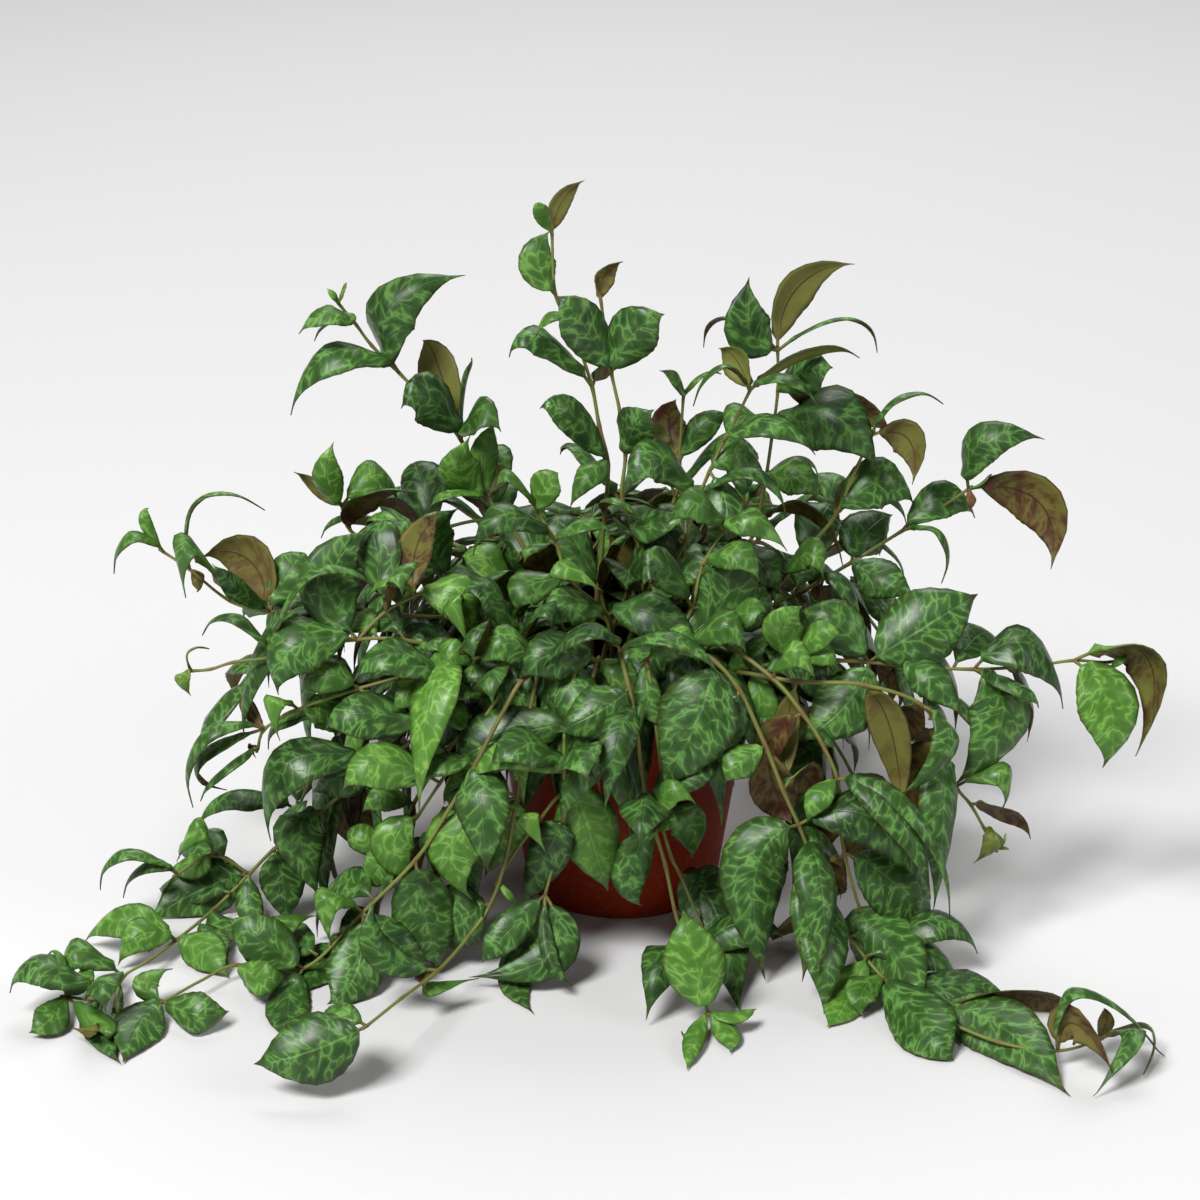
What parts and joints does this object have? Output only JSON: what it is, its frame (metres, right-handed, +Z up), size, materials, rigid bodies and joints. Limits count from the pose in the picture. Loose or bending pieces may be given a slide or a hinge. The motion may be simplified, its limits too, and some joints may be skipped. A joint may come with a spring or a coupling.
{
  "type": "potted lipstick plant",
  "caption": "Trailing plant with arching leafy stems and mottled pointed leaves, in a plain round tapered plastic grower's pot",
  "frame": {"origin": "middle of the pot's base, on the surface that the pot stands on", "axes": "+Z up, +X to the right and -Y to the front of the plant as it is usually seen"},
  "size_m": [0.6389, 0.5284, 0.4197],
  "materials": {
    "pot": "matt",
    "soil": "crumbly and damp",
    "foliage": "waxy satin leaves with a paler mottle, on green to tan stems"
  },
  "bodies": {
    "root": {"pot": "pot", "soil": "soil", "leafy_stem_tall_middle": "foliage", "leafy_stem_tall_middle_right": "foliage", "leafy_stem_upper_left": "foliage", "leafy_stem_short_upright": "foliage", "leafy_stem_upper_right": "foliage", "leafy_stem_tall_right": "foliage", "leafy_stem_right_arching": "foliage", "leafy_stem_far_right": "foliage", "leafy_stem_level_right": "foliage", "leafy_stem_drooping_right": "foliage", "leafy_stem_front_right": "foliage", "leafy_stem_front_right_thin": "foliage", "leafy_stem_front_middle": "foliage", "leafy_stem_front_middle_right": "foliage", "leafy_stem_front_left": "foliage", "leafy_stem_front_left_low": "foliage", "leafy_stem_trailing_front_left": "foliage", "leafy_stem_left_young": "foliage", "leafy_stem_low_left": "foliage", "leafy_stem_low_left_front": "foliage", "leafy_stem_left_middle": "foliage", "leafy_stem_left_upper": "foliage", "leafy_stem_left_back": "foliage", "leafy_stem_left_hanging": "foliage", "leafy_stem_left_hanging_back": "foliage", "leafy_stem_left_hanging_low": "foliage", "leafy_stem_right_hanging": "foliage", "leafy_stem_middle_fill": "foliage", "leafy_stem_middle_right_fill": "foliage", "leafy_stem_back_1": "foliage", "leafy_stem_back_2": "foliage", "leafy_stem_back_3": "foliage", "leafy_stem_back_4": "foliage", "leafy_stem_back_5": "foliage", "leafy_stem_back_6": "foliage", "leafy_stem_back_7": "foliage", "leafy_stem_back_8": "foliage", "leafy_stem_back_9": "foliage"}
  },
  "joints": []
}
